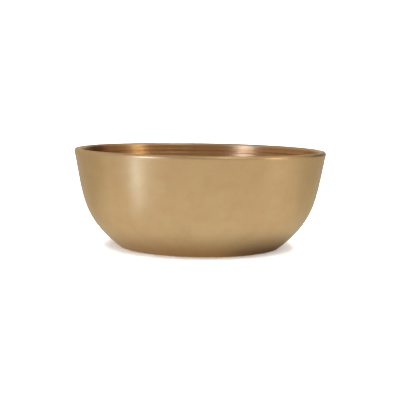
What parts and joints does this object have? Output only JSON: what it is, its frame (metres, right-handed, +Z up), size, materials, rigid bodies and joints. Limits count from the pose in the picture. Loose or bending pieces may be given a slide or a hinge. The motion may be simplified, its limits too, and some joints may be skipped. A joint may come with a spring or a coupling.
{
  "type": "shaving bowl",
  "caption": "Round bronze lather bowl with a rounded lip, walls that curve in to a flat base, and a shallow recess underneath.",
  "frame": {"origin": "centre of the circle that the bowl stands on, in the plane of the surface under it", "axes": "+Z up along the bowl's turning axis, from the base to the open rim; +X and +Y are any two level directions, since the bowl is round"},
  "size_m": [0.12, 0.12, 0.0464],
  "materials": {
    "bronze": "turned and satin polished, lightly toned with age"
  },
  "bodies": {
    "root": {"bowl": "bronze"}
  },
  "joints": []
}
